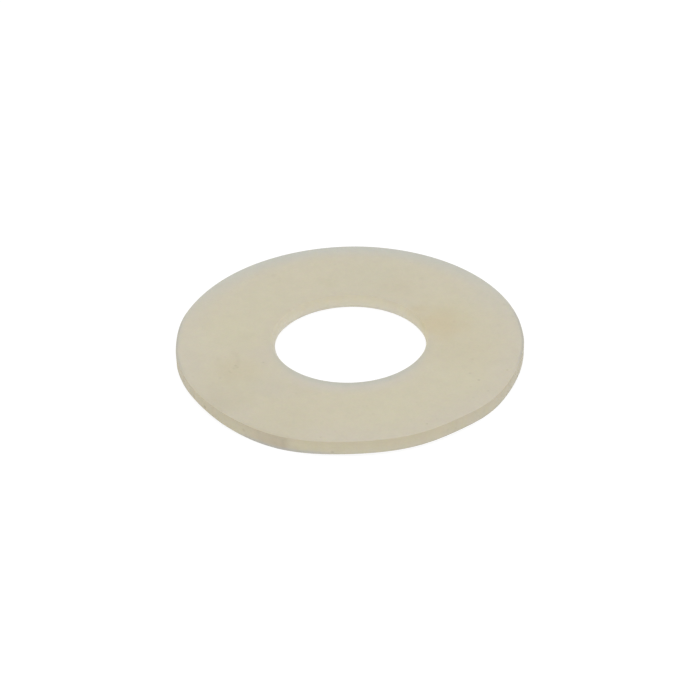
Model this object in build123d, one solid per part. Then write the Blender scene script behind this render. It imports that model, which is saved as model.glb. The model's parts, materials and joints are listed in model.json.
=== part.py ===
"""Flat washer of soft rubber: one plain ring, lying flat, with +Z up.

The origin is on the axis of the hole, in the plane of the underside.
All sizes are in millimetres.
"""

from build123d import *
import os

# Driving dimensions
OUTER_DIAMETER = 60.0
BORE_DIAMETER = 27.0  # slides over a G 3/4 pipe thread, 26.44 mm across its crests
THICKNESS = 2.5
OUTER_EDGE_RADIUS = 0.1  # cut corners, barely blunted, where the outer wall meets the two faces
BORE_EDGE_RADIUS = 0.1  # the same at the two mouths of the hole


def ring_section(outer_radius, bore_radius, thickness, outer_edge, bore_edge):
    """Half section of the ring: a flat bar from bore to rim, with rounded corners."""
    with BuildSketch(Plane.XZ) as section:
        with Locations((bore_radius, 0)):
            Rectangle(outer_radius - bore_radius, thickness, align=(Align.MIN, Align.MIN))
        fillet(section.vertices().group_by(Axis.X)[-1], outer_edge)
        fillet(section.vertices().group_by(Axis.X)[0], bore_edge)
    return section.sketch


def make_washer():
    """The washer: its half section turned once round the axis of the hole."""
    section = ring_section(
        OUTER_DIAMETER / 2,
        BORE_DIAMETER / 2,
        THICKNESS,
        OUTER_EDGE_RADIUS,
        BORE_EDGE_RADIUS,
    )
    washer = revolve(section, axis=Axis.Z)
    washer.label = "washer"
    return washer


os.makedirs("parts", exist_ok=True)
export_step(make_washer(), "parts/washer.step")
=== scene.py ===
import json
import math

import bpy
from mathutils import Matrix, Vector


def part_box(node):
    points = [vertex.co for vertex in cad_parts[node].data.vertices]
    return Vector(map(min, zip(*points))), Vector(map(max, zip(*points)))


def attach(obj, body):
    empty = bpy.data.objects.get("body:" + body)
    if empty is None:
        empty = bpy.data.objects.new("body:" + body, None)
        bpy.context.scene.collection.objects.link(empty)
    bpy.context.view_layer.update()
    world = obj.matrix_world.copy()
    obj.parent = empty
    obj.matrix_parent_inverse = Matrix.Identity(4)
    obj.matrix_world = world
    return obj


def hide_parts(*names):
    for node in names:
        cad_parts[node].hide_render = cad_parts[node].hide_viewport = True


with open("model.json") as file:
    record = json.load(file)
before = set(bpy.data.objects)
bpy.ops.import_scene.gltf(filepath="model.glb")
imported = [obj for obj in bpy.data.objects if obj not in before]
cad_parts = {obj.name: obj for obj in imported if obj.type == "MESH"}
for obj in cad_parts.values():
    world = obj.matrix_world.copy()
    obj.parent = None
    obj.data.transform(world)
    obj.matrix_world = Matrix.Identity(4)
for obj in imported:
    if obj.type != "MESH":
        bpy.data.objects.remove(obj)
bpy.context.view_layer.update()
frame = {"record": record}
MM = 0.001

# ---------------------------------------------------------------------------
# Washer: the whole object, one flat ring of soft, milky silicone rubber. It is
# punched from moulded sheet, so its faces are flat and matt and its walls are cut
# square. Being soft, it lies slightly rippled along its front edge.

washer_low, washer_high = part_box("washer")
bore_mount = next(m for m in frame["record"]["mounts"] if m["name"] == "bore")
outside_diameter = washer_high.x - washer_low.x
bore_diameter = 2 * bore_mount["dims"]["r_mm"] * MM
thickness = washer_high.z - washer_low.z
corner = 0.1 * MM
lift = 0.217 * MM  # from the table to the underside, which stands on the lowest of its ripples


def add_node(tree, kind, feeds=(), **settings):
    """Adds a node with its settings. Its feeds are a tuple for its first inputs in order, or a
    dict by input: a node or an output is linked, and anything else is the input's own value."""
    node = tree.nodes.new(kind)
    for name, value in settings.items():
        setattr(node, name, value)
    for key, value in feeds.items() if isinstance(feeds, dict) else enumerate(feeds):
        if isinstance(value, bpy.types.Node):
            value = value.outputs[0]
        if isinstance(value, bpy.types.NodeSocket):
            tree.links.new(value, node.inputs[key])
        else:
            node.inputs[key].default_value = value
    return node


ring = bpy.data.node_groups.new("washer_ring", "GeometryNodeTree")
for name, kind, size in (
    ("Outside Diameter", "Float", outside_diameter),
    ("Bore Diameter", "Float", bore_diameter),
    ("Thickness", "Float", thickness),
    ("Corner Radius", "Float", corner),
    ("Steps Round", "Int", 540),
    ("Steps Across", "Int", 16),
    ("Steps In Corner", "Int", 5),
    # Ripples: how deep each is, where it is deepest, how long, and how far off it dies away.
    ("Droop Depth", "Float", 0.36 * MM),
    ("Droop Angle", "Float", math.radians(245.8)),
    ("Droop Wavelength", "Float", math.radians(71.5)),
    ("Droop Reach", "Float", math.radians(30.4)),
    ("Dip Depth", "Float", 0.25 * MM),
    ("Dip Angle", "Float", math.radians(322.2)),
    ("Dip Wavelength", "Float", math.radians(39.6)),
    ("Dip Reach", "Float", math.radians(28.4)),
    # Where the sheet is thicker, or thinner if less than nought, as a share of its thickness.
    ("Front Swelling", "Float", 0.06),
    ("Front Angle", "Float", math.radians(239)),
    ("Front Reach", "Float", math.radians(15)),
    ("Left Swelling", "Float", -0.18),
    ("Left Angle", "Float", math.radians(209.6)),
    ("Left Reach", "Float", math.radians(14)),
    ("Right Swelling", "Float", -0.08),
    ("Right Angle", "Float", math.radians(335)),
    ("Right Reach", "Float", math.radians(22)),
    ("Bore Swelling", "Float", 0.03),
    # The bore, and where the rim stands out, or in if less than nought.
    ("Bore Bulge", "Float", 0.45 * MM),
    ("Left Bulge", "Float", 0.115 * MM),
    ("Bore Oval", "Float", 0.05 * MM),
    ("Bore Oval Angle", "Float", math.radians(18.6)),
    ("Back Bump", "Float", 0.13 * MM),
    ("Back Bump Angle", "Float", math.radians(166)),
    ("Back Bump Reach", "Float", math.radians(8)),
    ("Left Bump", "Float", 0.1 * MM),
    ("Left Bump Angle", "Float", math.radians(188.5)),
    ("Left Bump Reach", "Float", math.radians(5)),
    ("Far Bump", "Float", 0.11 * MM),
    ("Far Bump Angle", "Float", math.radians(86)),
    ("Far Bump Reach", "Float", math.radians(17)),
    ("Right Bump", "Float", 0.07 * MM),
    ("Right Bump Angle", "Float", math.radians(356)),
    ("Right Bump Reach", "Float", math.radians(4.5)),
    ("Near Bump", "Float", -0.11 * MM),
    ("Near Bump Angle", "Float", math.radians(211)),
    ("Near Bump Reach", "Float", math.radians(10)),
    # How the washer lies on its ripples: how far its rim is lower on the right and at the back.
    ("Lean Right", "Float", 0.085 * MM),
    ("Lean Back", "Float", 0.2 * MM),
    ("Lift", "Float", lift),
    ("Material", "Material", None),
):
    socket = ring.interface.new_socket(name=name, in_out="INPUT", socket_type="NodeSocket" + kind)
    if size is not None:
        socket.default_value = size
ring.interface.new_socket(name="Geometry", in_out="OUTPUT", socket_type="NodeSocketGeometry")
given = add_node(ring, "NodeGroupInput").outputs

# The section: a flat bar, divided across, with its four corners rounded.
outer_radius = add_node(ring, "ShaderNodeMath", (given["Outside Diameter"], 0.5), operation="MULTIPLY")
bore_radius = add_node(ring, "ShaderNodeMath", (given["Bore Diameter"], 0.5), operation="MULTIPLY")
width = add_node(ring, "ShaderNodeMath", (outer_radius, bore_radius), operation="SUBTRACT")
bar = add_node(
    ring,
    "GeometryNodeCurvePrimitiveQuadrilateral",
    {"Width": width, "Height": given["Thickness"]},
    mode="RECTANGLE",
)
cuts = add_node(ring, "ShaderNodeMath", (given["Steps Across"], 1), operation="SUBTRACT")
divided = add_node(ring, "GeometryNodeSubdivideCurve", {"Curve": bar, "Cuts": cuts})
index = add_node(ring, "GeometryNodeInputIndex")
place_in_side = add_node(ring, "ShaderNodeMath", (index, given["Steps Across"]), operation="MODULO")
is_corner = add_node(ring, "ShaderNodeMath", (place_in_side, 0.5), operation="LESS_THAN")
corner_steps = add_node(ring, "ShaderNodeMath", (is_corner, given["Steps In Corner"]), operation="MULTIPLY")
corner_size = add_node(ring, "ShaderNodeMath", (is_corner, given["Corner Radius"]), operation="MULTIPLY")
section = add_node(
    ring,
    "GeometryNodeFilletCurve",
    {"Curve": divided, "Count": corner_steps, "Radius": corner_size},
    mode="POLY",
)

# The ring: that section swept once round the middle of its width.
both_radii = add_node(ring, "ShaderNodeMath", (outer_radius, bore_radius), operation="ADD")
middle_radius = add_node(ring, "ShaderNodeMath", (both_radii, 0.5), operation="MULTIPLY")
path = add_node(
    ring,
    "GeometryNodeCurvePrimitiveCircle",
    {"Resolution": given["Steps Round"], "Radius": middle_radius},
)
swept = add_node(ring, "GeometryNodeCurveToMesh", {"Curve": path, "Profile Curve": section})
merged = add_node(ring, "GeometryNodeMergeByDistance", {"Geometry": swept, "Distance": 0.001 * MM})

# The lie of the soft rubber: ripples that grow from nothing at the bore to the rim.
place = add_node(ring, "GeometryNodeInputPosition")
flat_place = add_node(ring, "ShaderNodeVectorMath", (place, (1, 1, 0)), operation="MULTIPLY")
radius = add_node(ring, "ShaderNodeVectorMath", (flat_place,), operation="LENGTH").outputs["Value"]
along = add_node(ring, "ShaderNodeSeparateXYZ", (place,)).outputs
angle = add_node(ring, "ShaderNodeMath", (along["Y"], along["X"]), operation="ARCTAN2")


def bell(off, reach):
    """One where the angle off is nought, dying away past the reach on either side."""
    share = add_node(ring, "ShaderNodeMath", (off, reach), operation="DIVIDE")
    squared = add_node(ring, "ShaderNodeMath", (share, 2), operation="POWER")
    fall = add_node(ring, "ShaderNodeMath", (squared, -1), operation="MULTIPLY")
    return add_node(ring, "ShaderNodeMath", (fall,), operation="EXPONENT")


def turn_from(centre):
    """The angle round the ring from a centre, between minus and plus half a turn."""
    off = add_node(ring, "ShaderNodeMath", (angle, centre), operation="SUBTRACT")
    return add_node(ring, "ShaderNodeMath", (off, math.pi, -math.pi), operation="WRAP")


def ripple(name):
    """A wave in the rim that is lowest at its own angle and dies away on both sides."""
    off = turn_from(given[name + " Angle"])
    share = add_node(ring, "ShaderNodeMath", (off, given[name + " Wavelength"]), operation="DIVIDE")
    phase = add_node(ring, "ShaderNodeMath", (share, math.tau), operation="MULTIPLY")
    wave = add_node(ring, "ShaderNodeMath", (phase,), operation="COSINE")
    deep = add_node(ring, "ShaderNodeMath", (wave, given[name + " Depth"]), operation="MULTIPLY")
    return add_node(ring, "ShaderNodeMath", (deep, bell(off, given[name + " Reach"])), operation="MULTIPLY")


def swelling(name):
    """The share by which the rim is thicker, most at its own angle, or thinner if less than nought."""
    near = bell(turn_from(given[name + " Angle"]), given[name + " Reach"])
    return add_node(ring, "ShaderNodeMath", (near, given[name + " Swelling"]), operation="MULTIPLY")


outward = add_node(
    ring,
    "ShaderNodeMapRange",
    {"Value": radius, "From Min": bore_radius, "From Max": outer_radius},
    interpolation_type="SMOOTHSTEP",
)
waves = add_node(ring, "ShaderNodeMath", (ripple("Droop"), ripple("Dip")), operation="ADD")
sag = add_node(ring, "ShaderNodeMath", (waves, outward), operation="MULTIPLY")
at_sides = add_node(ring, "ShaderNodeMath", (swelling("Left"), swelling("Right")), operation="ADD")
swollen = add_node(ring, "ShaderNodeMath", (swelling("Front"), at_sides), operation="ADD")
swollen_rim = add_node(ring, "ShaderNodeMath", (swollen, outward), operation="MULTIPLY")
inward = add_node(ring, "ShaderNodeMath", (1, outward), operation="SUBTRACT")
swollen_lip = add_node(ring, "ShaderNodeMath", (given["Bore Swelling"], inward), operation="MULTIPLY")
swollen_all = add_node(ring, "ShaderNodeMath", (swollen_rim, swollen_lip), operation="ADD")
thicker = add_node(ring, "ShaderNodeMath", (along["Z"], swollen_all), operation="MULTIPLY")
leans = add_node(ring, "ShaderNodeCombineXYZ", (given["Lean Right"], given["Lean Back"]))
spread = add_node(ring, "ShaderNodeVectorMath", (place, leans), operation="DOT_PRODUCT").outputs["Value"]
leaning = add_node(ring, "ShaderNodeMath", (spread, outer_radius), operation="DIVIDE")
half_thickness = add_node(ring, "ShaderNodeMath", (given["Thickness"], 0.5), operation="MULTIPLY")
raised = add_node(ring, "ShaderNodeMath", (half_thickness, given["Lift"]), operation="ADD")
higher = add_node(ring, "ShaderNodeMath", (raised, thicker), operation="ADD")
level = add_node(ring, "ShaderNodeMath", (higher, sag), operation="SUBTRACT")
rise = add_node(ring, "ShaderNodeMath", (level, leaning), operation="SUBTRACT")
rise_only = add_node(ring, "ShaderNodeCombineXYZ", {"Z": rise})

# The wall of the bore isn't straight: it bulges inwards at half its height, a little more on the
# left. The bore is also very slightly oval.
off_half = add_node(ring, "ShaderNodeMath", (along["Z"], half_thickness), operation="DIVIDE")
off_squared = add_node(ring, "ShaderNodeMath", (off_half, 2), operation="POWER")
barrel = add_node(ring, "ShaderNodeMath", (1, off_squared), operation="SUBTRACT")
to_right = add_node(ring, "ShaderNodeMath", (along["X"], radius), operation="DIVIDE")
less_right = add_node(ring, "ShaderNodeMath", (to_right, given["Left Bulge"]), operation="MULTIPLY")
bulge = add_node(ring, "ShaderNodeMath", (given["Bore Bulge"], less_right), operation="SUBTRACT")
squeeze = add_node(ring, "ShaderNodeMath", (bulge, barrel), operation="MULTIPLY")
oval_turn = add_node(ring, "ShaderNodeMath", (turn_from(given["Bore Oval Angle"]), 2), operation="MULTIPLY")
oval_wave = add_node(ring, "ShaderNodeMath", (oval_turn,), operation="COSINE")
wider = add_node(ring, "ShaderNodeMath", (oval_wave, given["Bore Oval"]), operation="MULTIPLY")
widened = add_node(ring, "ShaderNodeMath", (wider, squeeze), operation="SUBTRACT")
widened_here = add_node(ring, "ShaderNodeMath", (widened, inward), operation="MULTIPLY")


def bump(name):
    """How far the rim stands out, most at its own angle, or in if less than nought."""
    near = bell(turn_from(given[name + " Angle"]), given[name + " Reach"])
    return add_node(ring, "ShaderNodeMath", (near, given[name]), operation="MULTIPLY")


# The rim isn't quite round: it stands out very slightly in four places, and in at a fifth.
bumps = bump("Near Bump")
for name in ("Back Bump", "Left Bump", "Far Bump", "Right Bump"):
    bumps = add_node(ring, "ShaderNodeMath", (bumps, bump(name)), operation="ADD")
bumped = add_node(ring, "ShaderNodeMath", (bumps, outward), operation="MULTIPLY")
moved = add_node(ring, "ShaderNodeMath", (widened_here, bumped), operation="ADD")
from_bore = add_node(ring, "ShaderNodeVectorMath", (flat_place,), operation="NORMALIZE")
outwards = add_node(ring, "ShaderNodeVectorMath", {0: from_bore, "Scale": moved}, operation="SCALE")
offset = add_node(ring, "ShaderNodeVectorMath", (rise_only, outwards), operation="ADD")

# Each point keeps its place in the sheet as it was cut: how high it is, from nought underneath
# to one on top, and how far it is from the axis of the bore.
height_share = add_node(ring, "ShaderNodeMath", (off_half, 0.5, 0.5), operation="MULTIPLY_ADD")
marked = merged
for name, value in (("height_in_sheet", height_share), ("radius_in_sheet", radius)):
    marked = add_node(
        ring,
        "GeometryNodeStoreNamedAttribute",
        {"Geometry": marked, "Name": name, "Value": value},
        data_type="FLOAT",
        domain="POINT",
    )
placed = add_node(ring, "GeometryNodeSetPosition", {"Geometry": marked, "Offset": offset})
realized = add_node(ring, "GeometryNodeRealizeInstances", {"Geometry": placed})
smooth = add_node(ring, "GeometryNodeSetShadeSmooth", {"Geometry": realized})
finished = add_node(ring, "GeometryNodeSetMaterial", {"Geometry": smooth, "Material": given["Material"]})
add_node(ring, "NodeGroupOutput", {"Geometry": finished})


def linear(hex_colour):
    """An sRGB hex colour as linear red, green, blue and an alpha of one."""
    shares = [int(hex_colour[i : i + 2], 16) / 255 for i in (1, 3, 5)]
    return [s / 12.92 if s <= 0.04045 else ((s + 0.055) / 1.055) ** 2.4 for s in shares] + [1.0]


# Undyed silicone rubber, moulded as sheet and then punched. It is milky and matt, with a
# very fine grain. It has yellowed unevenly, so it clouds between sallow and greyish.
rubber = bpy.data.materials.new("silicone_rubber_punched")
rubber.use_nodes = True
nodes = rubber.node_tree
nodes.nodes.clear()
object_place = add_node(nodes, "ShaderNodeTexCoord").outputs["Object"]

# Where a point lies: its place in millimetres, how far it was cut from the axis, its height in
# the sheet, from nought to one, its bearing in degrees, and the sine of its bearing.
in_mm = add_node(nodes, "ShaderNodeMapping", {"Vector": object_place, "Scale": (1 / MM, 1 / MM, 1 / MM)})
flat_mm = add_node(nodes, "ShaderNodeVectorMath", (in_mm, (1, 1, 0)), operation="MULTIPLY")
sides = add_node(nodes, "ShaderNodeSeparateXYZ", (in_mm,)).outputs
cut_radius = add_node(nodes, "ShaderNodeAttribute", attribute_name="radius_in_sheet").outputs["Fac"]
from_axis = add_node(nodes, "ShaderNodeMath", (cut_radius, 1 / MM), operation="MULTIPLY")
height = add_node(nodes, "ShaderNodeAttribute", attribute_name="height_in_sheet").outputs["Fac"]
signed_turn = add_node(nodes, "ShaderNodeMath", (sides["Y"], sides["X"]), operation="ARCTAN2")
whole_turn = add_node(nodes, "ShaderNodeMath", (signed_turn, math.tau, 0), operation="WRAP")
bearing = add_node(nodes, "ShaderNodeMath", (whole_turn,), operation="DEGREES")
sine = add_node(nodes, "ShaderNodeMath", (sides["Y"], from_axis), operation="DIVIDE")
outer_mm = outside_diameter / MM / 2
bore_mm = bore_diameter / MM / 2
corner_mm = corner / MM


def tint(under, tone, strength, *edges, blend="MIX"):
    """Lays a tone over a colour, as strongly as it says, where it has come past every edge. An
    edge is a value, where in it the tone starts, and where it is whole, with a smooth change
    between. The Mix node's inputs go by number, because its colours share their names."""
    share = strength
    for value, start, whole in edges:
        past = add_node(
            nodes,
            "ShaderNodeMapRange",
            {"Value": value, "From Min": start, "From Max": whole},
            interpolation_type="SMOOTHSTEP",
        )
        share = add_node(nodes, "ShaderNodeMath", (past, share), operation="MULTIPLY")
    laid = add_node(
        nodes,
        "ShaderNodeMix",
        {0: share, 6: under, 7: linear(tone)},
        data_type="RGBA",
        blend_type=blend,
    )
    return laid.outputs[2]


# Clouds in the moulded faces, some 5 mm across, over rubber that has yellowed most along the
# middle of the ring's width and is greyer and pinker towards both its edges. Then mottling
# of 1.4 mm.
clouds = add_node(nodes, "ShaderNodeTexNoise", {"Vector": in_mm, "Scale": 1 / 5.0, "Detail": 2.0})
drift = add_node(nodes, "ShaderNodeMath", (clouds, 6.0, -3.0), operation="MULTIPLY_ADD")
uneven_radius = add_node(nodes, "ShaderNodeMath", (from_axis, drift), operation="ADD")
colour = tint(linear("#CDC6AE"), "#CCC5B1", 1.0, (uneven_radius, outer_mm - 7.0, outer_mm - 1.0))
colour = tint(colour, "#CBC4AF", 0.7, (uneven_radius, bore_mm + 3.5, bore_mm + 0.5))
mottling = add_node(nodes, "ShaderNodeTexNoise", {"Vector": in_mm, "Scale": 1 / 1.4, "Detail": 2.0})
colour = tint(colour, "#FEFDFF", 1.0, (mottling, 0.3, 0.7), blend="MULTIPLY")

# Patches: sallow ones, grubby grey ones where it was handled, and last a brown stain that has
# spread from the edge of the bore. Each goes by its middle, its reach, its strength and its
# tone, and its outline is ragged, by lumps of 3 mm.
lumps = add_node(nodes, "ShaderNodeTexNoise", {"Vector": in_mm, "Scale": 1 / 3.0, "Detail": 2.0})
ragged = add_node(nodes, "ShaderNodeMath", (lumps, 5.0, -2.5), operation="MULTIPLY_ADD")
for x, y, reach, strength, tone in (
    (-20, 3, 8, 0.8, "#CDC7AD"),
    (-15, 12, 8, 0.6, "#CCC6AD"),
    (6, -21, 10, 0.7, "#CDC7AE"),
    (18, -13, 8, 0.7, "#CDC7AE"),
    (5, 19, 10, 0.7, "#C9C3AC"),
    (-4, 18, 3, 0.8, "#C8C1A8"),
    (9, 16, 5, 0.7, "#C9C0A8"),
    (-20, -13, 9, 0.7, "#C9C3AA"),
    (-12, -24, 10, 0.7, "#C9C2AA"),
    (-23, -17, 6, 0.7, "#C7BFAA"),
    (-13, -14.5, 5, 0.7, "#C7C0AE"),
    (-9, -15, 3, 0.6, "#C8C0AB"),
    (-15, -5, 4, 0.6, "#CAC2B0"),
    (-19.5, -9, 6, 0.8, "#C9C0A6"),
    (19, -4, 9, 0.8, "#CBC3A9"),
    (18, 6, 8, 0.8, "#CBC3A6"),
    (25, 11, 8, 0.6, "#CBC5B3"),
    (-26, 0, 6, 0.5, "#CFC9B3"),
    (-19, -18, 5, 0.5, "#C6BEA7"),
    (-17.5, 1, 2.5, 0.5, "#C8C1A9"),
    (14, 11, 2.5, 0.5, "#C8C0A7"),
    (11.8, 8, 3, 0.6, "#C9BD9E"),
    (16, 3.5, 6.5, 0.9, "#CBBFA1"),
    (14, 3, 4.5, 0.5, "#CBBFA0"),
):
    away = add_node(nodes, "ShaderNodeVectorMath", (flat_mm, (x, y, 0)), operation="DISTANCE")
    off = add_node(nodes, "ShaderNodeMath", (away.outputs["Value"], ragged), operation="ADD")
    colour = tint(colour, tone, strength, (off, reach, 0.1 * reach))

# A bluish cast is painted along the far part of the rim and along the near side of the bore:
# painted light, standing in for light that comes through the thin milky edge.
for inner, outer, bare, full, tone in (
    (outer_mm - 4.5, outer_mm + 0.2, 0.0, 1.0, "#C4C4BA"),
    (outer_mm - 1.2, outer_mm + 0.8, -0.5, 0.1, "#C4C4BA"),
    (bore_mm + 4.0, bore_mm + 1.0, -0.45, -1.0, "#CBC5B7"),
    (bore_mm + 1.8, bore_mm - 0.2, -0.3, -0.9, "#C0C1B6"),
    (bore_mm + 1.5, bore_mm - 1.0, 0.1, -0.5, "#C2C0B3"),
):
    colour = tint(colour, tone, 1.0, (from_axis, inner, outer), (sine, bare, full))

# The rim is painted darker on the near left, and above all over the smudge on its wall. This is
# painted shade, where the drooping rim tilts away from the light.
near_left = ((sides["Y"], -5.0, -12.0), (sides["X"], 2.0, -8.0))
colour = tint(colour, "#B8B09B", 0.12, (from_axis, outer_mm - 0.8, outer_mm - 0.1), *near_left)
over_smudge = ((bearing, 228, 240), (bearing, 262, 246))
colour = tint(colour, "#B8B09B", 0.12, (from_axis, outer_mm - 1.8, outer_mm - 0.2), *over_smudge)

# Where the rim turns from the near side to the far side, a thin grey line of painted shade
# dulls its edge, where the rounded corner turns away from the light.
past_side = add_node(nodes, "ShaderNodeMath", (sine, 0.05), operation="ADD")
off_side = add_node(nodes, "ShaderNodeMath", (past_side,), operation="ABSOLUTE")
rim_edge = (from_axis, outer_mm - 0.55, outer_mm - 0.2)
colour = tint(colour, "#8B8D90", 0.24, rim_edge, (off_side, 0.38, 0.15))

# The outer wall, cut with a worn die, is darker and more sallow than the faces. It is painted
# darker still towards its upper edge, as painted shade, for the lower wall is lit by the bright
# table. It is duller on the left, and has a grey smudge that ends sharply where the die met its
# own start; the smudge is partly painted shade, where the drooping wall faces down and away
# from the light. The smudge is olive at its core and darkest along its top.
on_wall = (from_axis, outer_mm - 0.6 * corner_mm, outer_mm - 0.3 * corner_mm)
colour = tint(colour, "#C9C3AE", 1.0, on_wall)
colour = tint(colour, "#C6BEA5", 1.0, on_wall, (height, 0.05, 0.7))
colour = tint(colour, "#C2BAA1", 1.0, on_wall, (height, 0.65, 1.0))
colour = tint(colour, "#C1B9A1", 0.7, on_wall, (sides["X"], -13.0, -22.0))
colour = tint(colour, "#BAB09B", 1.0, on_wall, (bearing, 229, 247), (bearing, 251.2, 247.8))
core_ends = (bearing, 250, 247.6)
colour = tint(colour, "#8C8C5A", 0.04, on_wall, (bearing, 243, 246.5), core_ends)
colour = tint(colour, "#9C907C", 0.09, on_wall, (height, 0.7, 0.92), (bearing, 225, 232), core_ends)
colour = tint(colour, "#A09C90", 0.1, on_wall, (sine, -0.6, -0.35))

# Blotches of 2.5 mm along the wall, pinker and greener, and pinker again at the near right. Its
# lower edge is painted darker, as painted shade where it meets the table, and its lower third is
# bluer and greyer under the smudge.
blotches = add_node(nodes, "ShaderNodeTexNoise", {"Vector": in_mm, "Scale": 1 / 2.5, "Detail": 3.0})
colour = tint(colour, "#C8BCA6", 0.35, on_wall, (blotches, 0.45, 0.65))
colour = tint(colour, "#C5BF9F", 0.35, on_wall, (blotches, 0.5, 0.3))
colour = tint(colour, "#C4BCB4", 0.15, on_wall, (sides["X"], 11.0, 20.0))
colour = tint(colour, "#A5A29C", 0.2, on_wall, (height, 0.16, 0.03))
grey_foot_place = ((height, 0.33, 0.08), (bearing, 228, 240), (bearing, 267, 257))
colour = tint(colour, "#BBB9B2", 0.8, on_wall, *grey_foot_place)

# The wall of the bore: the faces' own colour, painted paler, and paler still towards its lower
# edge, as painted light from the bright table below. It is paler at the left and the right, and a
# touch darker just under its mouth, as painted shade. Round the far half of the mouth the face is
# more sallow and the lip a touch darker, painted shade that dims the light caught by the corner,
# so that wall and face run softly into each other.
on_bore_wall = (from_axis, bore_mm + 0.6 * corner_mm, bore_mm + 0.3 * corner_mm)
colour = tint(colour, "#FFF2BE", 0.09, on_bore_wall)
colour = tint(colour, "#FCFEFF", 0.22, on_bore_wall, (height, 1.0, 0.0))
colour = tint(colour, "#A09C90", 0.045, on_bore_wall, (height, 0.65, 0.95))
colour = tint(colour, "#FDFFFF", 0.05, on_bore_wall, (sides["X"], -8.0, -10.5))
colour = tint(colour, "#FFFFE0", 0.035, on_bore_wall, (height, 0.2, 0.5), (sides["X"], 7.5, 9.5))
far_mouth = ((from_axis, bore_mm + 1.8, bore_mm + 0.3), (height, 0.95, 1.0), (sine, 0.0, 0.5))
colour = tint(colour, "#CCAE74", 0.035, *far_mouth)
far_lip = ((from_axis, bore_mm + 0.5, bore_mm + 0.15), (height, 0.85, 0.97), (sides["Y"], 3.0, 7.0))
colour = tint(colour, "#A09CA8", 0.04, *far_lip, (sides["X"], -9.0, -5.5))

# A dull line of painted shade runs along the two outer corners, where their rounding would
# otherwise catch the light.
line_starts = (from_axis, outer_mm - 0.7 * corner_mm, outer_mm - 0.5 * corner_mm)
line_ends = (from_axis, outer_mm - 0.01 * corner_mm, outer_mm - 0.08 * corner_mm)
colour = tint(colour, "#9C947C", 0.18, line_starts, line_ends)

# Fine grain, from 2 mm down to a tenth, drawn out into streaks on the walls, where the die
# dragged. The pores of the skin are finer than that, and are drawn at 0.4 mm so that they
# show. Flecks of just under 1 mm are pinker and greener, or more sallow and bluer.
drawn_out = add_node(nodes, "ShaderNodeMapping", {"Vector": in_mm, "Scale": (1, 1, 0.3)})
grain = add_node(nodes, "ShaderNodeTexNoise", {"Vector": drawn_out, "Scale": 1 / 2.0, "Detail": 5.0})
pores = add_node(nodes, "ShaderNodeTexNoise", {"Vector": in_mm, "Scale": 1 / 0.4, "Detail": 2.0})
warm_flecks = add_node(nodes, "ShaderNodeTexNoise", {"Vector": in_mm, "Scale": 1 / 0.9, "Detail": 3.0})
sallow_flecks = add_node(nodes, "ShaderNodeTexNoise", {"Vector": flat_mm, "Scale": 1 / 0.7, "Detail": 2.0})
for tone, pattern, bare, full in (
    ("#FCFCFC", grain, 0.3, 0.7),
    ("#FDFDFD", pores, 0.35, 0.65),
    ("#FFFDFF", warm_flecks, 0.5, 0.7),
    ("#FDFFFD", warm_flecks, 0.5, 0.3),
    ("#FFFFFC", sallow_flecks, 0.5, 0.35),
    ("#FEFEFF", sallow_flecks, 0.5, 0.65),
):
    colour = tint(colour, tone, 1.0, (pattern, bare, full), blend="MULTIPLY")

# Dark specks of dust, pressed in anywhere, on average 3 mm apart.
dust = add_node(nodes, "ShaderNodeTexVoronoi", {"Vector": in_mm, "Scale": 1 / 3}).outputs["Distance"]
colour = tint(colour, "#8A8068", 0.07, (dust, 0.11, 0.03))

# Larger specks in the faces, each by its place, its radius and how dark it is.
solid_part = 0.2  # a speck is at its darkest within this share of its radius
for x, y, size, dark in (
    (21.45, -13.3, 0.36, 0.21),
    (-14.8, -7.0, 0.3, 0.17),
    (-20.5, -9.25, 0.32, 0.1),
    (-20.25, -9.6, 0.32, 0.1),
    (-19.5, -7.65, 0.36, 0.15),
    (-19.1, -8.2, 0.36, 0.12),
    (-19.8, -8.5, 0.35, 0.06),
    (-21.95, -11.1, 0.4, 0.1),
    (-22.5, -5.5, 0.7, 0.05),
    (26.4, -10.9, 0.3, 0.17),
    (22.8, -16.3, 0.35, 0.12),
    (20.1, -11.4, 0.35, 0.1),
    (20.2, -18.2, 0.35, 0.09),
    (20.0, -15.1, 0.3, 0.09),
    (20.8, -7.5, 0.4, 0.09),
    (12.2, -25.5, 0.3, 0.18),
    (13.2, 18.5, 0.6, 0.06),
    (-13.5, 20.6, 0.8, 0.06),
    (3.5, -22.5, 0.3, 0.08),
    (-5.1, -28.3, 0.35, 0.09),
    (28.7, 5.5, 0.45, 0.08),
    (27.5, 9.3, 0.5, 0.07),
    (18.3, 4.2, 0.45, 0.07),
    (13.5, -4.6, 0.5, 0.06),
):
    away = add_node(nodes, "ShaderNodeVectorMath", (flat_mm, (x, y, 0)), operation="DISTANCE")
    colour = tint(colour, "#786F59", dark, (away.outputs["Value"], size, solid_part * size))

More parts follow.
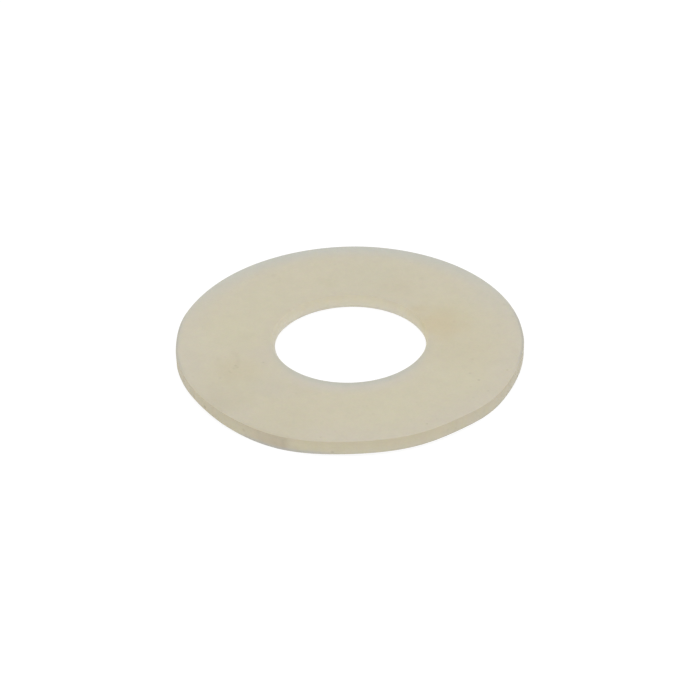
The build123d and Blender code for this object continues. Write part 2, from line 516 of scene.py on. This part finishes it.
# Nicks and stains in the outer wall, each by its bearing, its height in the sheet, its radius
# and how dark it is.
grime = "#5E543C"
height_mm = add_node(nodes, "ShaderNodeMath", (height, thickness / MM), operation="MULTIPLY")
in_sheet = add_node(nodes, "ShaderNodeCombineXYZ", (sides["X"], sides["Y"], height_mm))
for nick_bearing, nick_height, size, dark in (
    (219.5, 1.85, 1.0, 0.05),
    (208.4, 0.8, 0.5, 0.26),
    (215.6, 0.85, 0.45, 0.36),
    (233.8, 1.35, 0.4, 0.14),
    (236.6, 1.75, 0.4, 0.06),
    (247.2, 1.2, 2.2, 0.03),
    (220.0, 1.6, 4.5, 0.025),
    (252.2, 0.45, 1.3, 0.06),
    (263.8, 0.5, 0.4, 0.16),
    (301.2, 1.1, 0.45, 0.08),
    (304.3, 0.7, 0.4, 0.08),
    (316.7, 1.3, 0.5, 0.06),
    (326.7, 1.55, 0.5, 0.12),
):
    nick_turn = math.radians(nick_bearing)
    middle = (outer_mm * math.cos(nick_turn), outer_mm * math.sin(nick_turn), nick_height)
    away = add_node(nodes, "ShaderNodeVectorMath", (in_sheet, middle), operation="DISTANCE")
    colour = tint(colour, grime, dark, (away.outputs["Value"], size, solid_part * size))

# A faint scuff on the left of the upper face: a short arc, its middle and the place on it that
# shows.
arc_middle = (-22.75, -6.4, 0)
arc_radius = 3.7
scuff_place = (-19.05, -6.0, 0)
from_middle = add_node(nodes, "ShaderNodeVectorMath", (flat_mm, arc_middle), operation="DISTANCE")
reached = from_middle.outputs["Value"]
past_arc = add_node(nodes, "ShaderNodeMath", (reached, arc_radius), operation="SUBTRACT")
off_arc = add_node(nodes, "ShaderNodeMath", (past_arc,), operation="ABSOLUTE")
away = add_node(nodes, "ShaderNodeVectorMath", (flat_mm, scuff_place), operation="DISTANCE")
colour = tint(colour, "#6A5240", 0.042, (off_arc, 0.6, 0.1), (away.outputs["Value"], 3.2, 2.2))

# The skin is matt, a little more so over some of the lumps, and its grain stands up by less than
# a thirtieth of a millimetre. Light goes up to a millimetre into the milky rubber, red furthest.
roughness = add_node(
    nodes,
    "ShaderNodeMapRange",
    {"Value": lumps, "From Min": 0.3, "From Max": 0.7, "To Min": 0.5, "To Max": 0.6},
)
relief = add_node(nodes, "ShaderNodeBump", {"Height": grain, "Strength": 0.5, "Distance": 0.03 * MM})
skin = add_node(
    nodes,
    "ShaderNodeBsdfPrincipled",
    {
        "Base Color": colour,
        "Roughness": roughness,
        "Normal": relief,
        "IOR": 1.41,
        "Subsurface Weight": 0.12,
        "Subsurface Radius": (1.6, 1.3, 0.8),
        "Subsurface Scale": 0.6 * MM,
    },
    subsurface_method="RANDOM_WALK",
)
add_node(nodes, "ShaderNodeOutputMaterial", {"Surface": skin})

# The ring is made once as a plain mesh, which then stands for the washer.
start = bpy.data.meshes.new("washer_start")
draft = bpy.data.objects.new("washer_draft", start)
bpy.context.scene.collection.objects.link(draft)
maker = draft.modifiers.new("ring", "NODES")
maker.node_group = ring
for item in ring.interface.items_tree:
    if item.in_out == "INPUT" and item.name == "Material":
        maker[item.identifier] = rubber
shape = bpy.data.meshes.new_from_object(draft.evaluated_get(bpy.context.evaluated_depsgraph_get()))
bpy.data.objects.remove(draft)
bpy.data.meshes.remove(start)
washer = bpy.data.objects.new("soft_washer", shape)
bpy.context.scene.collection.objects.link(washer)
even = washer.modifiers.new("flat_faces_stay_flat", "WEIGHTED_NORMAL")
even.keep_sharp = True
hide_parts("washer")
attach(washer, "root")

# ---------------------------------------------------------------------------
# Table top: a plain white sheet of paper under the washer, not part of it. It looks pure
# white, and only the dark of a shadow tones it down.

table_half = 2.0
corners = [(table_half * x, table_half * y, 0) for x, y in ((-1, -1), (1, -1), (1, 1), (-1, 1))]
table_mesh = bpy.data.meshes.new("table_top")
table_mesh.from_pydata(corners, [], [(0, 1, 2, 3)])
table = bpy.data.objects.new("table_top", table_mesh)
bpy.context.scene.collection.objects.link(table)


def seen_directly(tree):
    """One for rays from the eye, in a mirror or through glass, and nought for the light itself."""
    rays = add_node(tree, "ShaderNodeLightPath").outputs
    mirrored = (rays["Is Glossy Ray"], rays["Is Transmission Ray"])
    indirect = add_node(tree, "ShaderNodeMath", mirrored, operation="MAXIMUM")
    return add_node(tree, "ShaderNodeMath", (rays["Is Camera Ray"], indirect), operation="MAXIMUM")


# Four fifths of what is seen of the paper is its own even white, and the rest is the light
# that falls on it, which the washer's shadow takes away.
paper = bpy.data.materials.new("white_paper_sheet")
paper.use_nodes = True
nodes = paper.node_tree
nodes.nodes.clear()
glow_share = add_node(nodes, "ShaderNodeMath", (seen_directly(nodes), 0.8), operation="MULTIPLY")
matt = add_node(nodes, "ShaderNodeBsdfDiffuse", {"Color": linear("#F7F7F7")})
glow = add_node(nodes, "ShaderNodeEmission", {"Color": (1, 1, 1, 1), "Strength": 1.1})
paper_look = add_node(nodes, "ShaderNodeMixShader", (glow_share, matt, glow))
add_node(nodes, "ShaderNodeOutputMaterial", {"Surface": paper_look})
table_mesh.materials.append(paper)

# ---------------------------------------------------------------------------
# Studio light: an even white room and a large softbox in front and above. The room is seen as
# pure white, and lights the washer very slightly less than that.

world = bpy.data.worlds.new("white_room")
bpy.context.scene.world = world
world.use_nodes = True
nodes = world.node_tree
nodes.nodes.clear()
room = add_node(nodes, "ShaderNodeBackground", {"Color": (1, 1, 1, 1), "Strength": 0.9555})
seen_room = add_node(nodes, "ShaderNodeBackground", {"Color": (1, 1, 1, 1), "Strength": 1.0})
look = add_node(nodes, "ShaderNodeMixShader", (seen_directly(nodes), room, seen_room))
add_node(nodes, "ShaderNodeOutputWorld", {"Surface": look})

lamp = bpy.data.lights.new("softbox", "AREA")
lamp.shape = "SQUARE"
lamp.size = 0.6
lamp.energy = 0.7085
softbox = bpy.data.objects.new("softbox", lamp)
softbox_climb = math.radians(30)
softbox_distance = 0.9
softbox_forward = softbox_distance * math.cos(softbox_climb)
softbox.location = (0.0, -softbox_forward, softbox_distance * math.sin(softbox_climb))
softbox.rotation_euler = (math.pi / 2 - softbox_climb, 0.0, 0.0)
bpy.context.scene.collection.objects.link(softbox)

# ---------------------------------------------------------------------------
# Camera: a little over a third of a metre away, looking down at 35 degrees and very slightly
# rolled. It aims a hair below the middle of the washer.

elevation = math.radians(34.735)
aim_below = math.radians(0.19)
roll = math.radians(-1.444)
distance = 344.1 * MM
middle_height = thickness / 2 + lift
lens = bpy.data.cameras.new("camera")
lens.angle = math.radians(20)
lens.clip_start = 0.01
lens.clip_end = 20.0
eye = bpy.data.objects.new("camera", lens)
bpy.context.scene.collection.objects.link(eye)
eye.location = (0.0, -distance * math.cos(elevation), middle_height + distance * math.sin(elevation))
eye.rotation_mode = "ZXY"
eye.rotation_euler = (math.pi / 2 - elevation - aim_below, 0.0, roll)
bpy.context.scene.camera = eye

bpy.context.scene.view_settings.view_transform = "Standard"
